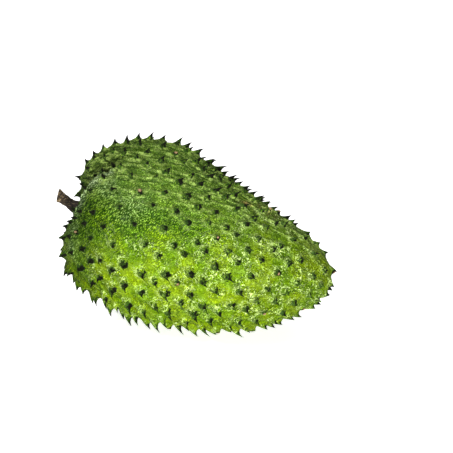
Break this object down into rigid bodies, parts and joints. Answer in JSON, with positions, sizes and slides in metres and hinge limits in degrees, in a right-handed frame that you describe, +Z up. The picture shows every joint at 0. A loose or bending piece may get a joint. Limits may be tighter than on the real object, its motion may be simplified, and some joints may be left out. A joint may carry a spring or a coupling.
{
  "type": "soursop fruit",
  "caption": "Whole soursop lying on its side: a heart-shaped green fruit covered with soft hooked spines, with a short woody stem at the broad end.",
  "frame": {"origin": "bottom centre of the bounding box of the fruit and its stem, on the surface it lies on", "axes": "+Z up, +X toward the blossom end, the stem leaves toward -X, -Y is the side shown in the picture"},
  "size_m": [0.2379, 0.1486, 0.1417],
  "materials": {
    "skin": "leathery green rind with a soft waxy gloss, brighter below and darker on the upper lobe, with blackish green spine tips",
    "bark": "dry, dull reddish brown bark with a paler slanted cut end"
  },
  "bodies": {
    "root": {"fruit": "skin", "stem": "bark"}
  },
  "joints": []
}
